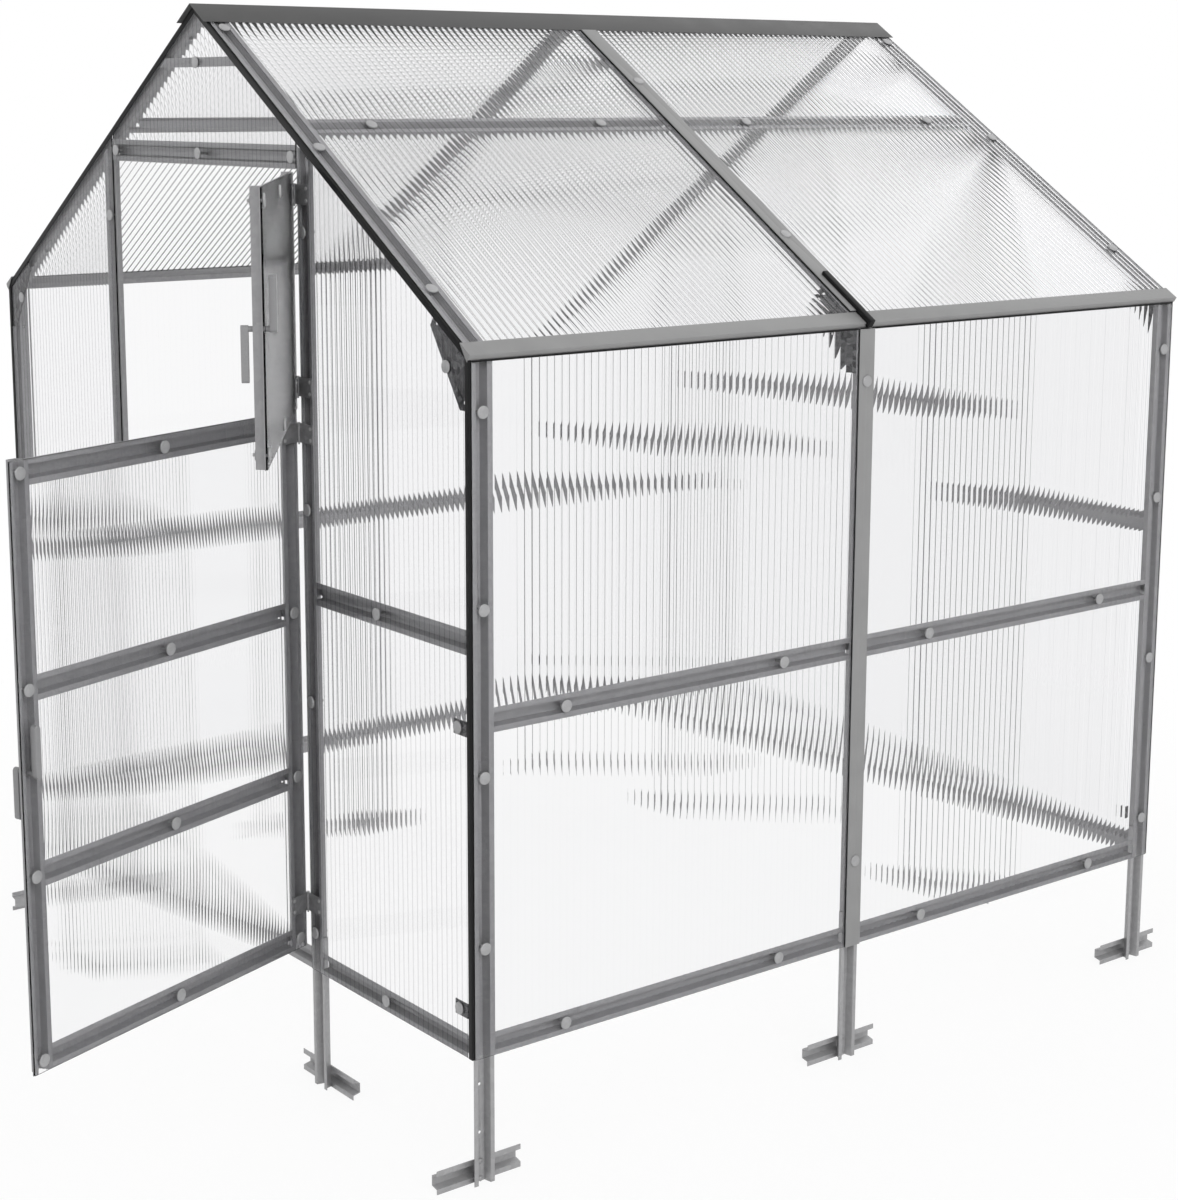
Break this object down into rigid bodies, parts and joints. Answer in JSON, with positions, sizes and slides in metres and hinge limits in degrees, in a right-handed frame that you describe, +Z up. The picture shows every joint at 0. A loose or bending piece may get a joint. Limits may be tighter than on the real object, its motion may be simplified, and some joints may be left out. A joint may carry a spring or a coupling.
{
  "type": "gable-roof greenhouse",
  "caption": "Small gable-roof greenhouse of folded metal hat bars and clear twin-wall sheets, with a two-leaf door that opens outwards and latches of its own on each leaf.",
  "frame": {"origin": "middle of the rectangular footprint, on the ground plane through the lower ends of the legs", "axes": "+Z up; -Y is the door gable; +X is the side of the door hinges, to the right of someone facing the door"},
  "size_m": [2.0742, 2.8395, 2.283],
  "materials": {
    "zinc_steel": "satin",
    "grey_trim": "satin",
    "clear_sheet": "gloss",
    "black_plastic": "matte",
    "rubber": "matte",
    "screw_metal": "satin",
    "hinge_metal": "satin",
    "latch_plastic": "satin"
  },
  "bodies": {
    "house": {"front_left_post": "zinc_steel", "front_left_rafter": "zinc_steel", "front_right_post": "zinc_steel", "front_right_rafter": "zinc_steel", "mid_left_post": "zinc_steel", "mid_left_rafter": "zinc_steel", "mid_right_post": "zinc_steel", "mid_right_rafter": "zinc_steel", "rear_left_post": "zinc_steel", "rear_left_rafter": "zinc_steel", "rear_right_post": "zinc_steel", "rear_right_rafter": "zinc_steel", "left_door_post": "zinc_steel", "right_door_post": "zinc_steel", "rear_left_stud": "zinc_steel", "rear_right_stud": "zinc_steel", "legs": "zinc_steel", "anchors": "zinc_steel", "left_base_rails": "zinc_steel", "right_base_rails": "zinc_steel", "front_base_rails": "zinc_steel", "rear_base_rails": "zinc_steel", "left_mid_rails": "zinc_steel", "right_mid_rails": "zinc_steel", "front_gable_rails": "zinc_steel", "rear_gable_rails": "zinc_steel", "lintels": "zinc_steel", "collar_ties": "zinc_steel", "purlins": "zinc_steel", "ridge_angles": "zinc_steel", "eave_angles": "zinc_steel", "gusset_plates": "zinc_steel", "corner_clips": "zinc_steel", "left_wall_sheets": "clear_sheet", "right_wall_sheets": "clear_sheet", "left_roof_sheets": "clear_sheet", "right_roof_sheets": "clear_sheet", "front_gable_sheets": "clear_sheet", "rear_gable_sheets": "clear_sheet", "cover_strips": "grey_trim", "eave_flashings": "grey_trim", "ridge_cap": "grey_trim", "edge_strips": "black_plastic", "strip_caps": "black_plastic", "strip_seals": "rubber", "frame_screws": "screw_metal", "hinge_brackets": "hinge_metal", "hinge_pins": "screw_metal"},
    "lower_leaf": {"lower_stiles": "zinc_steel", "lower_rails": "zinc_steel", "lower_sheet": "clear_sheet", "lower_hinge_leaves": "hinge_metal", "lower_screws": "screw_metal"},
    "lower_latch_body": {"lower_latch": "latch_plastic"},
    "upper_leaf": {"upper_stiles": "zinc_steel", "upper_rails": "zinc_steel", "upper_sheet": "clear_sheet", "upper_hinge_leaves": "hinge_metal", "upper_screws": "screw_metal"},
    "upper_latch_body": {"upper_latch": "latch_plastic"}
  },
  "joints": [
    {"name": "lower_door_hinge", "type": "hinge", "parent": "house", "child": "lower_leaf", "pos_m": [0.399, -1.0105, 0.412], "axis": [0, 0, 1], "range_deg": [-109.7, 50.3]},
    {"name": "upper_door_hinge", "type": "hinge", "parent": "house", "child": "upper_leaf", "pos_m": [0.399, -1.0105, 1.5095], "axis": [0, 0, 1], "range_deg": [-145.5, 14.5]},
    {"name": "lower_latch_turn", "type": "hinge", "parent": "lower_leaf", "child": "lower_latch_body", "pos_m": [0.65271, -1.7354, 0.88675], "axis": [-0.9415, -0.3371, 0], "range_deg": [0, 90]},
    {"name": "upper_latch_turn", "type": "hinge", "parent": "upper_leaf", "child": "upper_latch_body", "pos_m": [1.02881, -1.45003, 1.70325], "axis": [-0.5664, -0.8241, 0], "range_deg": [0, 90]}
  ]
}
